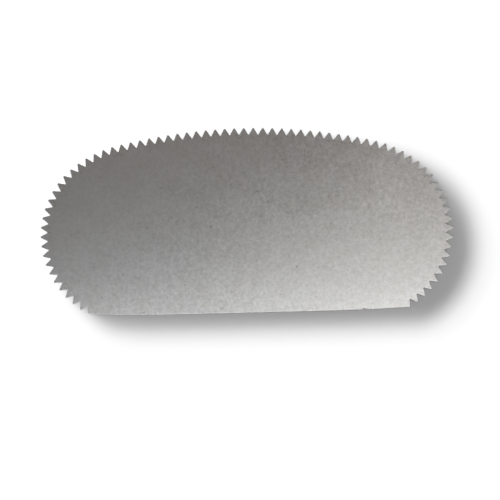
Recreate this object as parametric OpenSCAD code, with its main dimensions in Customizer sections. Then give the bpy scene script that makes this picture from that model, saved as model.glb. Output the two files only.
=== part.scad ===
// Serrated steel scraper for pottery and modelling clay.
// One flat sheet-steel blade: a half-moon with a toothed rim and one nearly straight edge.
// The blade lies on its flat face: +X along its length, +Y from the straight edge to the
// toothed top, +Z through the sheet. The origin is the middle of the outline, underneath.

/* [Blade] */
// Length of the blade over its tooth tips
blade_length = 105; // [95:1:115]
// Height of the blade from its straight edge to the topmost tooth tips
blade_height = 47; // [40:0.1:48]
// Thickness of the spring-steel sheet
sheet_thickness = 0.5; // [0.3:0.05:1.5]
// How far the straight edge bows outwards at its middle
edge_bow = 0.5; // [0:0.1:1]
// How far the straight edge sits to the right of the toothed top
edge_shift = 0.3; // [0:0.1:1]

/* [Rim] */
// Radius of the two rounded ends, at the tooth tips
end_radius = 22.5; // [21:0.5:28]
// Radius of the shoulders that blend the ends into the long top arc
shoulder_radius = 30; // [24:1:45]
// Half of the angle that the long top arc spans
crown_angle = 13; // [9:1:18]
// Angle, clockwise from +Y, at which a shoulder becomes an end
shoulder_angle = 35; // [30:1:60]

/* [Teeth] */
// Number of whole teeth on the rim, odd so that one stands at the middle of the top
tooth_count = 73; // [41:2:91]
// Depth of a tooth from its tip to its root
tooth_depth = 1.65; // [0.8:0.05:2.4]
// Width of the blunt tip of a tooth
tip_width = 0.35; // [0.1:0.05:0.6]
// Width of the root between two neighbouring teeth
root_width = 0.15; // [0.05:0.05:0.3]

/* [Hidden] */

// Straight stretches that make up the bow of the straight edge
bow_steps = 24;

top_y = blade_height / 2;
corner_y = edge_bow - blade_height / 2;

// Unit vector at an angle measured clockwise from +Y
function ray(angle) = [sin(angle), cos(angle)];

// Angle that an arc of this length and radius turns through, and the reverse
function arc_angle(length, radius) = length / radius * 180 / PI;
function arc_length(angle, radius) = angle * radius * PI / 180;

// The rim's right half is three arcs that meet without a kink: crown, shoulder and end.
// The crown's radius is the one that makes the blade as long as blade_length.
end_x = blade_length / 2 - end_radius;
shoulder_step = shoulder_radius - end_radius;
crown_radius = shoulder_radius + (end_x - shoulder_step * sin(shoulder_angle)) / sin(crown_angle);

crown_centre = [0, top_y - crown_radius];
shoulder_centre = crown_centre + (crown_radius - shoulder_radius) * ray(crown_angle);
end_centre = shoulder_centre + shoulder_step * ray(shoulder_angle);
corner_angle = acos((corner_y - end_centre[1]) / end_radius);

// Distances from the middle of the top, along the tooth tips
shoulder_start = arc_length(crown_angle, crown_radius);
end_start = shoulder_start + arc_length(shoulder_angle - crown_angle, shoulder_radius);
half_rim = end_start + arc_length(corner_angle - shoulder_angle, end_radius);
pitch = 2 * half_rim / (tooth_count + 1);

// Point at a distance along the right half of the rim, and at a depth under the tooth tips
function right_rim(along, depth) =
    along < shoulder_start ?
        crown_centre + (crown_radius - depth) * ray(arc_angle(along, crown_radius))
    : along < end_start ?
        shoulder_centre + (shoulder_radius - depth)
            * ray(crown_angle + arc_angle(along - shoulder_start, shoulder_radius))
    :
        end_centre + (end_radius - depth)
            * ray(shoulder_angle + arc_angle(along - end_start, end_radius));

// The same on either half: a negative distance lies on the left
function even_rim(along, depth) =
    let (right = right_rim(abs(along), depth)) [sign(along) * right[0], right[1]];

// The outline leans a little: only its widest line stays where it would be on an even blade
function leaning(point) =
    point + [edge_shift * (end_centre[1] - point[1]) / blade_height, 0];

function rim(along, depth) = leaning(even_rim(along, depth));

// From a tip down to the next root and up to the next tip
function notch(tip) = [
    rim(tip + tip_width / 2, 0),
    rim(tip + (pitch - root_width) / 2, tooth_depth),
    rim(tip + (pitch + root_width) / 2, tooth_depth),
    rim(tip + pitch - tip_width / 2, 0)
];

corner = even_rim(half_rim, 0);

// Point on the bowed straight edge, at a share of the way from its middle to a corner: it is
// almost flat in the middle, and most of the bow is near the corners
function edge(share) =
    leaning([share * corner[0], corner[1] - edge_bow * (1 - pow(share, 4))]);

toothed_rim = [for (tooth = [0 : tooth_count], point = notch(tooth * pitch - half_rim)) point];
straight_edge = [for (step = [0 : bow_steps]) edge(1 - 2 * step / bow_steps)];

module blade() {
    color([0.62, 0.62, 0.61])
        linear_extrude(height = sheet_thickness)
            polygon(concat(toothed_rim, straight_edge));
}

blade();
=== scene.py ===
import math

import bmesh
import bpy
import numpy as np
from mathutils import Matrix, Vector
from mathutils.geometry import delaunay_2d_cdt


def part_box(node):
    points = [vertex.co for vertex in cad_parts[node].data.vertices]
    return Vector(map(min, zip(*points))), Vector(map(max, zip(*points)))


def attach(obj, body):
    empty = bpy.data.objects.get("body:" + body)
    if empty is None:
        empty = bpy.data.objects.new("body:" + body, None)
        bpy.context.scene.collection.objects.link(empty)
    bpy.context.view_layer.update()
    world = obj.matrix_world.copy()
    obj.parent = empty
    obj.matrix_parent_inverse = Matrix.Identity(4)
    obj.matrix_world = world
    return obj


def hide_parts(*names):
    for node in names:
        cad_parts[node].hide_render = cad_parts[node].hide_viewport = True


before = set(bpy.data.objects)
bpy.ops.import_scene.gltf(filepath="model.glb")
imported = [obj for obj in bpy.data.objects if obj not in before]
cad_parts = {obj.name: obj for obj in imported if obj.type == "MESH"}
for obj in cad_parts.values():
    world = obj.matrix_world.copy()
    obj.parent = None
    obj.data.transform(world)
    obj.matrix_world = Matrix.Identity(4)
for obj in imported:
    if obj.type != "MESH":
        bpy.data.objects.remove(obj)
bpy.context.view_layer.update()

MM = 0.001

# Studio light, as the brightness of each surface
WALLS = 1.05            # walls, at the horizon
WALL_FOOT = 0.08        # sine of the elevation up to which the walls stay white
WALL_TOP = 0.35         # sine of the elevation at which they have darkened to the ceiling
CEILING = (0.210, 0.204, 0.196)
OVERHEAD = 0.58         # wide panel above, which only the floor sees
OVERHEAD_TINT = (0.97, 1.0, 1.06)
LOW_PANELS = 1120.0     # brightest of the low panels that cast the drop shadow
SIDE_STRIPS = 0.8       # strips beside the blade, which only the steel mirrors in a low view

# Sizes and distances in the studio, in metres
OVERHEAD_HEIGHT = 12
OVERHEAD_WIDTH = 12
PANEL_REACH = 40.0
STRIP_REACH = 0.25
FLOOR_REACH = 60

# Low panels, all in degrees: the arc that they fill, and how their brightness falls off along it
FIRST_PANEL = 105
LAST_PANEL = 180
PANEL_STEP = 15
BRIGHTEST_AZIMUTH = 146
AZIMUTH_SPREAD = 25.6
PANEL_BANDS = (         # (lowest elevation, highest elevation, share of the brightness)
    (2.7, 3.3, 1.0),
    (3.85, 4.6, 0.76),
    (4.6, 5.95, 0.48),
    (5.95, 8.15, 0.16))

# Side strips, in metres and degrees: where they stand, and the parts in which each fades to its right
STRIP_PLACES = (        # (azimuth, lowest point, highest point)
    (135, 0.05, 0.20),
    (315, 0.02, 0.13))
STRIP_PARTS = (         # (left side, right side, share of the brightness)
    (-0.20, -0.08, 1.0),
    (-0.08, -0.04, 0.75),
    (-0.04, 0.0, 0.5),
    (0.0, 0.04, 0.25))

# Camera
PICTURE_WIDTH = 0.12727  # what the picture spans at the blade's upper face, in metres
PICTURE_TILT = 1.376    # how far the blade is turned in the picture, in degrees
BLADE_LEFT = 0.0069     # how far the blade's origin is left of the picture's middle,
BLADE_UP = 0.05926      # and how far above it, as shares of the picture's width
LENS = 85               # focal length and sensor width, in millimetres
SENSOR_WIDTH = 36

FLOOR_GAP = 0.25        # how far the floor lies under the blade, in millimetres

# Steel surface
STEEL_ROUGHNESS = 0.30
SPECKLE_TONE = 0.47     # brightest and darkest speckle, as a share of the steel's own tone
SPECKLE_DEPTH = 0.008   # height of the speckle's bumps, in millimetres
SMOOTH_END = 50         # degrees from +X, clockwise, of the direction in which the speckle coarsens
PITTED = 0.15           # share of the surface's cells that hold a pit
LANE_SHIFT = 17.0       # most cells by which a lane of scratches is shifted from its neighbours
WARM_TINT = (0.600, 0.596, 0.591, 1)
NEUTRAL_TINT = (0.596, 0.596, 0.597, 1)
# tint of the painted cool reflection over the left end
COOL_REFLECTION_TINT = (0.592, 0.595, 0.603, 1)

# Blade edges, in millimetres
TIP_ROUND = 0.20        # radius of a tooth's blunt tip corners
TIP_ROUND_SPREAD = 0.04  # how much that radius differs from tooth to tooth
ROOT_ROUND = 0.10       # radius at the root between two teeth
ROLL = 0.10             # radius of the upper arris, rolled over by the press
ROLL_STEPS = 4          # facets round that arris
HOLD = 0.03             # flat strip beside each arris that keeps the faces flat-shaded
SHEARED_TO = 0.45       # height, as a share of the thickness, down to which the wall is sheared clean
TORN_FROM = 0.36        # height, as a share of the thickness, at which most of the tear has drawn in
TEAR_START = 0.6        # share of the tear's depth that is reached there
TEAR_DEPTH = 0.03       # how far the torn lower half of the wall draws in
BURR_BEVEL = 0.04       # bevel of the lower arris
RUBBED = 1.2            # width of the rubbed metal along the edges, which also bounds the painted edge highlight
NICK = ((28.8, 0.0), (29.2, 0.30), (29.9, 0.26), (30.2, 0.0))  # (x, depth) along the straight edge
WORN_FROM = -32.5       # x at which the straight edge starts to curve up into its worn left corner
WORN_RISE = 0.30        # how far that corner is worn away
WORN_BAND = 0.6         # height of the strip along the straight edge that the wear reaches
CAP_GRID = 1.0          # spacing of the points inside the two flat faces

SAME_HEIGHT = 1e-6      # metres within which a CAD point is on the upper face
SMALL_TURN = 12         # degrees: a corner that turns less stays, and an arc's steps turn no more
CORNER_ROOM = 0.48      # share of the shorter neighbouring side that a rounded corner may use up
MITRE_LIMIT = 0.5       # smallest cosine that a mitred corner is divided by
MERGE_DISTANCE = 1e-7   # millimetres within which the face's triangulation joins two points
TIP_SEED = 7


# ---------------------------------------------------------------- blade mesh

def cad_outline(node):
    """The node's upper face outline, as the CAD draws it: a counter-clockwise loop, in millimetres."""
    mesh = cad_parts[node].data
    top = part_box(node)[1].z
    edges = set()
    for polygon in mesh.polygons:
        corners = [mesh.vertices[i].co for i in polygon.vertices]
        if all(abs(c.z - top) < SAME_HEIGHT for c in corners):
            flat = [(round(c.x / MM, 4), round(c.y / MM, 4)) for c in corners]
            edges.update(zip(flat, flat[1:] + flat[:1]))
    following = {a: b for a, b in edges if (b, a) not in edges}
    loop = [min(following)]
    while len(loop) < len(following):
        loop.append(following[loop[-1]])
    return [Vector(p) for p in loop]


def round_corner(before, corner, after, radius):
    """Points of an arc that replaces the corner, or the corner itself where the outline hardly turns."""
    arriving = (corner - before).normalized()
    leaving = (after - corner).normalized()
    turn = math.atan2(arriving.cross(leaving), arriving.dot(leaving))
    if abs(turn) < math.radians(SMALL_TURN):
        return [corner]
    reach = radius * math.tan(abs(turn) / 2)
    room = CORNER_ROOM * min((corner - before).length, (after - corner).length)
    radius *= min(1, room / reach)
    start = corner - arriving * min(reach, room)
    side = math.copysign(1, turn)
    centre = start + Vector((-arriving.y, arriving.x)) * side * radius
    spoke = start - centre
    steps = max(2, math.ceil(abs(turn) / math.radians(SMALL_TURN)))
    points = []
    for step in range(steps + 1):
        angle = turn * step / steps
        cosine = math.cos(angle)
        sine = math.sin(angle)
        turned = (spoke.x * cosine - spoke.y * sine, spoke.x * sine + spoke.y * cosine)
        points.append(centre + Vector(turned))
    return points


def rounded_outline(outline, random):
    """The outline with blunt tips and small root radii, as a press tool leaves them."""
    points = []
    for i, corner in enumerate(outline):
        before = outline[i - 1]
        after = outline[(i + 1) % len(outline)]
        turns_left = (corner - before).cross(after - corner) > 0
        tip = TIP_ROUND + random.uniform(-TIP_ROUND_SPREAD, TIP_ROUND_SPREAD)
        points += round_corner(before, corner, after, tip if turns_left else ROOT_ROUND)
    return points


def nicked(outline):
    """The outline with the nick let into the stretch of the straight edge that it is on."""
    for i, point in enumerate(outline):
        after = outline[(i + 1) % len(outline)]
        if point.x < NICK[0][0] and after.x > NICK[-1][0] and point.y < 0:
            slope = (after.y - point.y) / (after.x - point.x)
            dent = [Vector((x, point.y + (x - point.x) * slope + depth)) for x, depth in NICK]
            return outline[:i + 1] + dent + outline[i + 1:]
    raise ValueError("no stretch of the straight edge holds the nick")


def worn(outline):
    """The outline with the left corner of its straight edge worn away."""
    low = min(point.y for point in outline)
    end = [point for point in outline if point.x < WORN_FROM and point.y < low + WORN_BAND]
    reach = WORN_FROM - min(point.x for point in end)
    for point in end:
        point.y += WORN_RISE * ((WORN_FROM - point.x) / reach) ** 2
    return outline


def inset(points, distance):
    """The loop moved inwards, with mitred corners."""
    moved = []
    for i, point in enumerate(points):
        arriving = (point - points[i - 1]).normalized()
        leaving = (points[(i + 1) % len(points)] - point).normalized()
        along = (arriving + leaving).normalized()
        inwards = Vector((-along.y, along.x))
        moved.append(point + inwards * distance / max(MITRE_LIMIT, along.dot(arriving)))
    return moved


def wall_profile(thickness):
    """(inset, height) pairs down the wall of a blanked sheet: rolled over, sheared, then torn."""
    pairs = [(ROLL + HOLD, thickness)]
    for step in range(ROLL_STEPS + 1):
        angle = math.radians(90 * step / ROLL_STEPS)
        pairs.append((ROLL * (1 - math.sin(angle)), thickness - ROLL * (1 - math.cos(angle))))
    pairs.append((0.0, thickness * SHEARED_TO))
    pairs.append((TEAR_DEPTH * TEAR_START, thickness * TORN_FROM))
    pairs.append((TEAR_DEPTH, BURR_BEVEL))
    pairs.append((TEAR_DEPTH + BURR_BEVEL, 0.0))
    pairs.append((TEAR_DEPTH + BURR_BEVEL + HOLD, 0.0))
    return pairs


def inner_grid(ring, spacing, clearance):
    """Points on a staggered grid inside the ring, clear of it."""
    edge = np.array(ring)
    low = edge.min(0)
    high = edge.max(0)
    points = []
    for row in range(int((high[1] - low[1]) / spacing)):
        for column in range(int((high[0] - low[0]) / spacing)):
            x = low[0] + (column + 0.5 + 0.5 * (row % 2)) * spacing
            y = low[1] + (row + 0.5) * spacing
            if np.hypot(edge[:, 0] - x, edge[:, 1] - y).min() > clearance and inside(edge, x, y):
                points.append(Vector((x, y)))
    return points


def inside(edge, x, y):
    """Whether a point is inside a closed loop, by counting crossings."""
    ahead = np.roll(edge, -1, axis=0)
    crosses = (edge[:, 1] > y) != (ahead[:, 1] > y)
    run = np.where(crosses, ahead[:, 1] - edge[:, 1], 1.0)
    at = edge[:, 0] + (y - edge[:, 1]) * (ahead[:, 0] - edge[:, 0]) / run
    return bool(np.count_nonzero(crosses & (at > x)) % 2)


def fill_cap(bm, ring_verts, height, upwards):
    """A flat face of even triangles inside a ring of vertices."""
    ring = [Vector((v.co.x / MM, v.co.y / MM)) for v in ring_verts]
    grid = inner_grid(ring, CAP_GRID, CAP_GRID / 2)
    count = len(ring)
    border = [(i, (i + 1) % count) for i in range(count)]
    # Output type 1 keeps only the triangles inside the border
    points, _, triangles, origins, _, _ = delaunay_2d_cdt(ring + grid, border, [], 1, MERGE_DISTANCE)
    verts = []
    for point, origin in zip(points, origins):
        if origin and origin[0] < count:
            verts.append(ring_verts[origin[0]])
        else:
            verts.append(bm.verts.new((point.x * MM, point.y * MM, height * MM)))
    for triangle in triangles:
        corners = [verts[i] for i in triangle]
        bm.faces.new(corners if upwards else corners[::-1])


def mark_rim(mesh, outline):
    """Stores how near each point is to the blade's edge, 1 at the edge, for the rubbed metal there and the
    painted edge highlight.
    """
    edge = np.array(outline)
    rim = mesh.attributes.new("rim", "FLOAT", "POINT")
    for vert, value in zip(mesh.vertices, rim.data):
        gap = np.hypot(edge[:, 0] - vert.co.x / MM, edge[:, 1] - vert.co.y / MM).min()
        value.value = max(0.0, 1 - gap / RUBBED)


def make_blade():
    """The blade as blanked sheet: blunt teeth, a rolled upper arris, a torn wall and two flat faces."""
    random = np.random.default_rng(TIP_SEED)
    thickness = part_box("blade")[1].z / MM
    outline = rounded_outline(worn(nicked(cad_outline("blade"))), random)
    bm = bmesh.new()
    rings = []
    for distance, height in wall_profile(thickness):
        loop = inset(outline, distance)
        rings.append([bm.verts.new((p.x * MM, p.y * MM, height * MM)) for p in loop])
    for upper, lower in zip(rings, rings[1:]):
        for i in range(len(upper)):
            bm.faces.new((upper[i - 1], lower[i - 1], lower[i], upper[i]))
    fill_cap(bm, rings[0], thickness, True)
    fill_cap(bm, rings[-1], 0.0, False)
    mesh = bpy.data.meshes.new("scraper_blade")
    bm.to_mesh(mesh)
    bm.free()
    mark_rim(mesh, outline)
    for polygon in mesh.polygons:
        polygon.use_smooth = True
    piece = bpy.data.objects.new("scraper_blade", mesh)
    bpy.context.scene.collection.objects.link(piece)
    return piece


# ---------------------------------------------------------------- materials

class Graph:
    """A material's node tree, with one call for each node."""

    def __init__(self, tree):
        self.tree = tree

    def add(self, kind, inputs=(), **settings):
        """Adds a node. Each input is a number, a tuple or another node's output."""
        node = self.tree.nodes.new("ShaderNode" + kind)
        for name, value in settings.items():
            setattr(node, name, value)
        for socket, value in dict(inputs).items():
            if isinstance(value, bpy.types.NodeSocket):
                self.tree.links.new(value, node.inputs[socket])
            else:
                node.inputs[socket].default_value = value
        return node

    def math(self, operation, *values):
        return self.add("Math", enumerate(values), operation=operation).outputs[0]

    def span(self, value, low, high, to_low=0.0, to_high=1.0, smooth=False):
        """The value's range low to high, stretched to another range and held at its ends."""
        inputs = {"Value": value, "From Min": low, "From Max": high, "To Min": to_low, "To Max": to_high}
        shape = "SMOOTHSTEP" if smooth else "LINEAR"
        return self.add("MapRange", inputs, interpolation_type=shape).outputs["Result"]

    def noise(self, place, per_mm, detail=0.0, roughness=0.5, distortion=0.0):
        inputs = {"Vector": place, "Scale": per_mm, "Detail": detail}
        inputs.update({"Roughness": roughness, "Distortion": distortion})
        return self.add("TexNoise", inputs).outputs["Fac"]

    def moved(self, place, shift=(0, 0, 0), turn=0.0, scale=(1, 1, 1)):
        inputs = {"Vector": place, "Location": shift, "Scale": scale}
        inputs["Rotation"] = (0, 0, math.radians(turn))
        return self.add("Mapping", inputs).outputs["Vector"]

    def channel(self, colour, name):
        return self.add("SeparateColor", {"Color": colour}).outputs[name]

    def product(self, *values):
        result = values[0]
        for value in values[1:]:
            result = self.math("MULTIPLY", result, value)
        return result

    def total(self, *values):
        result = values[0]
        for value in values[1:]:
            result = self.math("ADD", result, value)
        return result


def new_material(name):
    material = bpy.data.materials.new(name)
    material.use_nodes = True
    return material, Graph(material.node_tree), material.node_tree.nodes["Principled BSDF"]


def hairlines(graph, place, turn, lane, length, share, width):
    """Straight fine scratches in one direction: 1 in a scratch, 0 beside it. All sizes in millimetres.

    The surface is cut into lanes, and each lane into cells. A share of the cells hold one scratch each,
    which lies near the middle of its lane and fades out towards the ends of its cell.
    """
    turned = graph.add("SeparateXYZ", {"Vector": graph.moved(place, turn=turn)})
    along = graph.math("DIVIDE", turned.outputs["X"], length)
    across = graph.math("DIVIDE", turned.outputs["Y"], lane)
    row = graph.math("FLOOR", across)
    stagger = graph.add("TexWhiteNoise", {"W": row}, noise_dimensions="1D").outputs["Value"]
    shifted = graph.math("ADD", along, graph.math("MULTIPLY", stagger, LANE_SHIFT))
    cell = graph.add("CombineXYZ", {"X": graph.math("FLOOR", shifted), "Y": row, "Z": turn})
    draw = graph.add("TexWhiteNoise", {"Vector": cell.outputs["Vector"]}, noise_dimensions="3D")
    drawn = graph.math("LESS_THAN", draw.outputs["Value"], share)
    middle = graph.span(graph.channel(draw.outputs["Color"], "Green"), 0, 1, 0.3, 0.7)
    gap = graph.math("ABSOLUTE", graph.math("SUBTRACT", graph.math("FRACT", across), middle))
    line = graph.span(gap, 0.0, width / lane, 1.0, 0.0)
    end = graph.math("ABSOLUTE", graph.math("SUBTRACT", graph.math("FRACT", shifted), 0.5))
    return graph.product(drawn, line, graph.span(end, 0.2, 0.5, 1.0, 0.0))


def blot(graph, place, middle, radii):
    """A soft oval mark: 1 in its middle, fading out near its radii. All sizes in millimetres."""
    shift = (-middle[0] / radii[0], -middle[1] / radii[1], 0)
    oval = graph.moved(place, shift=shift, scale=(1 / radii[0], 1 / radii[1], 0))
    distance = graph.add("VectorMath", {0: oval}, operation="LENGTH").outputs["Value"]
    return graph.span(distance, 0.4, 1.1, 1.0, 0.0, smooth=True)


def scratch_lines(graph, place):
    """Hairline scratches in three directions, bent a little."""
    drift = graph.add("TexNoise", {"Vector": place, "Scale": 0.05, "Detail": 1.0}).outputs["Color"]
    bent = graph.add("VectorMath", {0: place, 1: drift}, operation="ADD").outputs["Vector"]
    flat = hairlines(graph, bent, turn=12, lane=1.3, length=34, share=0.22, width=0.045)
    steep = hairlines(graph, bent, turn=68, lane=2.1, length=15, share=0.14, width=0.05)
    falling = hairlines(graph, bent, turn=-37, lane=2.6, length=21, share=0.16, width=0.06)
    return graph.math("MAXIMUM", graph.math("MAXIMUM", flat, steep), falling)


def small_pits(graph, place):
    """Round pits, each in a cell of its own: 1 in a pit, 0 beside it."""
    cells = graph.add("TexVoronoi", {"Vector": place, "Scale": 0.42, "Randomness": 1.0})
    pitted = graph.math("LESS_THAN", graph.channel(cells.outputs["Color"], "Red"), PITTED)
    return graph.product(pitted, graph.span(cells.outputs["Distance"], 0.04, 0.09, 1.0, 0.0))


def handling_marks(graph, place):
    """Faint marks of handling near the right end, as a tone added to the steel around them."""
    blotches = graph.noise(graph.moved(place, shift=(5, 3, 0)), 0.5, detail=3.0, roughness=0.7)
    mottle = graph.span(blotches, 0.35, 0.65)
    light = graph.total(
        blot(graph, place, middle=(37, 11), radii=(6, 9)),
        blot(graph, place, middle=(34, 3), radii=(7, 2.5)))
    dark = graph.total(
        blot(graph, place, middle=(14, 4), radii=(6, 8)),
        blot(graph, place, middle=(16, 17), radii=(12, 6)))
    return graph.total(
        graph.product(light, graph.span(mottle, 0, 1, -0.03, 0.14)),
        graph.product(dark, graph.span(mottle, 0, 1, -0.08, 0.01)))


def painted_edge_highlight(graph, place, rim):
    """A painted highlight: a thin bright line along the left half of the straight edge."""
    left_half = blot(graph, place, middle=(-22, -23), radii=(26, 3))
    return graph.product(graph.span(rim, 0.6, 0.88), left_half)


def coarseness(graph, place):
    """Strength of the speckle: less towards the upper left end, and in a wide patch at the lower right."""
    slant = graph.add("SeparateXYZ", {"Vector": graph.moved(place, turn=SMOOTH_END)}).outputs["X"]
    lower_right = blot(graph, place, middle=(24, -13), radii=(30, 16))
    calm = graph.span(lower_right, 0, 1, 1.0, 0.75)
    return graph.product(calm, graph.span(slant, -35, 5, 0.38, 1.0, smooth=True))


def steel_tint(graph, place, patches):
    """The steel's colour: warm and neutral patches of its own, and a painted cool reflection over the left
    end.
    """
    patched = graph.add("Mix", {"Factor": graph.span(patches, 0.35, 0.65, smooth=True)}, data_type="RGBA")
    patched.inputs["A"].default_value = WARM_TINT
    patched.inputs["B"].default_value = NEUTRAL_TINT
    # painted cool reflection: a bluish cast over the left end
    painted_cool_reflection = graph.product(blot(graph, place, middle=(-30, -4), radii=(36, 16)), 0.8)
    tint = graph.add("Mix", {"Factor": painted_cool_reflection, "A": patched.outputs["Result"]}, data_type="RGBA")
    tint.inputs["B"].default_value = COOL_REFLECTION_TINT
    return tint.outputs["Result"]


def steel_material():
    """Dull cold-rolled spring steel: speckle, patches, scratches, pits, handling marks, a rubbed rim and a
    painted edge highlight.

    Each feature adds its share to the tone, the roughness or the height. Noise scales are per millimetre.
    """
    material, graph, shader = new_material("cold_rolled_steel")
    metres = graph.add("TexCoord").outputs["Object"]
    place = graph.moved(metres, scale=(1 / MM, 1 / MM, 1 / MM))
    speckle = graph.noise(place, 1.2, detail=3.0, roughness=0.85)
    elsewhere = graph.moved(place, shift=(31, 7, 0))
    patches = graph.noise(elsewhere, 0.22, detail=3.0, roughness=0.6, distortion=0.4)
    rolling = graph.noise(graph.moved(place, scale=(0.05, 2.2, 1)), 1.0, detail=2.0, roughness=0.7)
    scratches = scratch_lines(graph, place)
    pits = small_pits(graph, place)
    rim = graph.add("Attribute", attribute_name="rim").outputs["Fac"]

    tone = graph.total(
        1.0,
        graph.product(coarseness(graph, place), graph.span(speckle, 0, 1, -SPECKLE_TONE, SPECKLE_TONE)),
        graph.span(patches, 0, 1, -0.05, 0.05),
        graph.span(rolling, 0, 1, -0.03, 0.03),
        handling_marks(graph, place),
        graph.product(scratches, 0.015),
        graph.product(pits, 0.04),
        graph.product(rim, 0.02),
        # painted highlight: a thin bright line along the left half of the straight edge
        graph.product(painted_edge_highlight(graph, place, rim), 0.13))
    tint = steel_tint(graph, place, patches)
    colour = graph.add("VectorMath", {0: tint, "Scale": tone}, operation="SCALE")
    graph.tree.links.new(colour.outputs["Vector"], shader.inputs["Base Color"])

    roughness = graph.total(
        STEEL_ROUGHNESS,
        graph.span(speckle, 0, 1, -0.05, 0.05),
        graph.span(patches, 0, 1, -0.03, 0.03),
        graph.product(scratches, -0.01),
        graph.product(rim, -0.02))
    graph.tree.links.new(roughness, shader.inputs["Roughness"])

    height = graph.total(
        speckle,
        graph.product(rolling, 0.25),
        graph.product(scratches, -0.2),
        graph.product(pits, -0.18))
    bump = graph.add("Bump", {"Height": height, "Strength": 1.0, "Distance": SPECKLE_DEPTH * MM})
    graph.tree.links.new(bump.outputs["Normal"], shader.inputs["Normal"])
    shader.inputs["Metallic"].default_value = 1.0
    return material


def floor_material():
    material, _, shader = new_material("white_floor")
    shader.inputs["Base Color"].default_value = (0.85, 0.85, 0.85, 1)
    shader.inputs["Roughness"].default_value = 0.9
    shader.inputs["Specular IOR Level"].default_value = 0.0
    return material


# ---------------------------------------------------------------- stage

def make_floor():
    """A white floor. It lies a little under the blade, so light gets under the edges.

    The real sheet isn't quite flat, and rests on a few high spots.
    """
    bm = bmesh.new()
    bmesh.ops.create_grid(bm, x_segments=1, y_segments=1, size=FLOOR_REACH)
    mesh = bpy.data.meshes.new("floor")
    bm.to_mesh(mesh)
    bm.free()
    mesh.materials.append(floor_material())
    floor = bpy.data.objects.new("floor", mesh)
    floor.location.z = -FLOOR_GAP * MM
    bpy.context.scene.collection.objects.link(floor)


def make_world():
    """A studio whose walls are white at the horizon and darken towards a grey, slightly warm ceiling."""
    world = bpy.data.worlds.new("studio")
    world.use_nodes = True
    graph = Graph(world.node_tree)
    direction = graph.add("SeparateXYZ", {"Vector": graph.add("TexCoord").outputs["Generated"]})
    upwards = graph.span(direction.outputs["Z"], WALL_FOOT, WALL_TOP, smooth=True)
    brightness = graph.add("Mix", {"Factor": upwards}, data_type="RGBA")
    brightness.inputs["A"].default_value = (WALLS, WALLS, WALLS, 1)
    brightness.inputs["B"].default_value = (*CEILING, 1)
    graph.tree.links.new(brightness.outputs["Result"], world.node_tree.nodes["Background"].inputs["Color"])
    bpy.context.scene.world = world


def area_light(name, place, target, size, radiance, tint=(1, 1, 1), glossy=True, diffuse=True):
    """A rectangular softbox: its power follows from its size and how bright its face is."""
    light = bpy.data.lights.new(name, "AREA")
    light.shape = "RECTANGLE"
    light.size, light.size_y = size
    light.energy = radiance * math.pi * size[0] * size[1]
    light.color = tint
    lamp = bpy.data.objects.new(name, light)
    lamp.location = place
    lamp.rotation_mode = "QUATERNION"
    lamp.rotation_quaternion = (Vector(target) - Vector(place)).to_track_quat("-Z", "Y")
    lamp.visible_camera = False
    lamp.visible_glossy = glossy
    lamp.visible_diffuse = diffuse
    bpy.context.scene.collection.objects.link(lamp)
    return lamp


def softbox(name, low, high, height, radiance, tint):
    """A box that faces straight down, close above the blade, and that only the steel mirrors."""
    size = (high[0] - low[0], high[1] - low[1])
    x = (low[0] + high[0]) / 2
    y = (low[1] + high[1]) / 2
    area_light(name, (x, y, height), (x, y, 0), size, radiance, tint=tint, diffuse=False)


def make_softboxes():
    """The steel's gradient: brightest towards -Y, a little brighter towards +X and faintly warm towards +Y.

    Each call gives two corners, the height, the brightness and the tint. The boxes overlap, so each has its
    own height: of two lights in one plane a ray finds only one.
    """
    softbox("main_softbox", (-0.105, -0.20), (0.25, -0.05), 0.25, 1.82, (0.96, 0.975, 1.0))
    softbox("lower_right_softbox", (0.0, -0.15), (0.25, 0.0), 0.245, 0.37, (1.0, 1.0, 0.92))
    softbox("right_softbox", (0.05, -0.05), (0.15, 0.05), 0.24, 0.30, (1.0, 0.93, 0.88))
    softbox("warm_card", (-0.20, 0.03), (0.20, 0.25), 0.235, 0.03, (1.0, 0.55, 0.30))


def make_side_strips():
    """Upright strips that shade the steel from end to end in the low views, fading at one side."""
    for azimuth, low, high in STRIP_PLACES:
        angle = math.radians(azimuth)
        away = Vector((math.cos(angle), math.sin(angle), 0))
        right = Vector((math.sin(angle), -math.cos(angle), 0))
        for start, end, share in STRIP_PARTS:
            place = away * STRIP_REACH + right * (start + end) / 2 + Vector((0, 0, (low + high) / 2))
            size = (end - start, high - low)
            radiance = SIDE_STRIPS * share
            area_light(f"side_strip_{azimuth}", place, place - away, size, radiance, diffuse=False)


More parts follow.
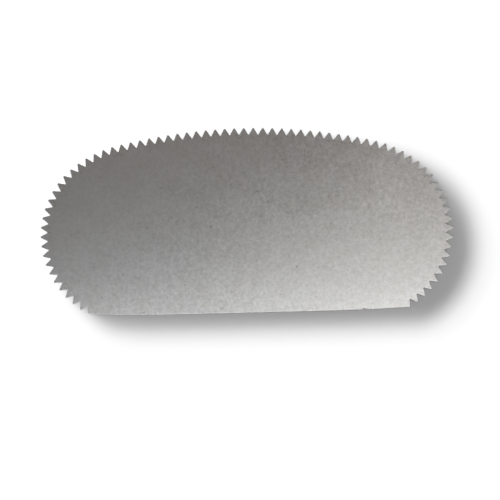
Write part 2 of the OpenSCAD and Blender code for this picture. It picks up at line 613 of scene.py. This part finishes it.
def make_low_panels():
    """An arc of low panels far off at the upper left, which casts the floor's soft shadow.

    The steel doesn't mirror them, so the blade's far end has no glare in a low view.
    """
    width = 2 * PANEL_REACH * math.tan(math.radians(PANEL_STEP / 2))
    for azimuth in range(FIRST_PANEL, LAST_PANEL + 1, PANEL_STEP):
        falloff = math.exp(-((azimuth - BRIGHTEST_AZIMUTH) / AZIMUTH_SPREAD) ** 2)
        angle = math.radians(azimuth)
        for low, high, share in PANEL_BANDS:
            bottom = PANEL_REACH * math.tan(math.radians(low))
            top = PANEL_REACH * math.tan(math.radians(high))
            middle = (bottom + top) / 2
            place = (PANEL_REACH * math.cos(angle), PANEL_REACH * math.sin(angle), middle)
            radiance = LOW_PANELS * falloff * share
            size = (width, top - bottom)
            area_light(f"low_panel_{azimuth}", place, (0, 0, middle), size, radiance, glossy=False)


def make_overhead():
    """A wide panel above, for the floor alone, cool enough to keep the shadow neutral."""
    place = (0, 0, OVERHEAD_HEIGHT)
    size = (OVERHEAD_WIDTH, OVERHEAD_WIDTH)
    area_light("overhead", place, (0, 0, 0), size, OVERHEAD, tint=OVERHEAD_TINT, glossy=False)


def make_camera():
    """The camera looks straight down, turned a little, with the blade above the middle of the picture."""
    camera = bpy.data.cameras.new("camera")
    camera.lens = LENS
    camera.sensor_width = SENSOR_WIDTH
    camera.clip_start = 0.01
    camera.clip_end = 100
    eye = bpy.data.objects.new("camera", camera)
    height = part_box("blade")[1].z + PICTURE_WIDTH * LENS / SENSOR_WIDTH
    tilt = math.radians(PICTURE_TILT)
    right = Vector((math.cos(tilt), -math.sin(tilt), 0))
    up = Vector((math.sin(tilt), math.cos(tilt), 0))
    away = right * (-BLADE_LEFT * PICTURE_WIDTH) + up * (BLADE_UP * PICTURE_WIDTH)
    eye.location = Vector((0, 0, height)) - away
    eye.rotation_euler = (0, 0, -tilt)
    bpy.context.scene.collection.objects.link(eye)
    bpy.context.scene.camera = eye


# ---------------------------------------------------------------- scene

blade = make_blade()
blade.data.materials.append(steel_material())
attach(blade, "root")
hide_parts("blade")
make_floor()
make_world()
make_softboxes()
make_side_strips()
make_low_panels()
make_overhead()
make_camera()
bpy.context.scene.view_settings.view_transform = "Standard"
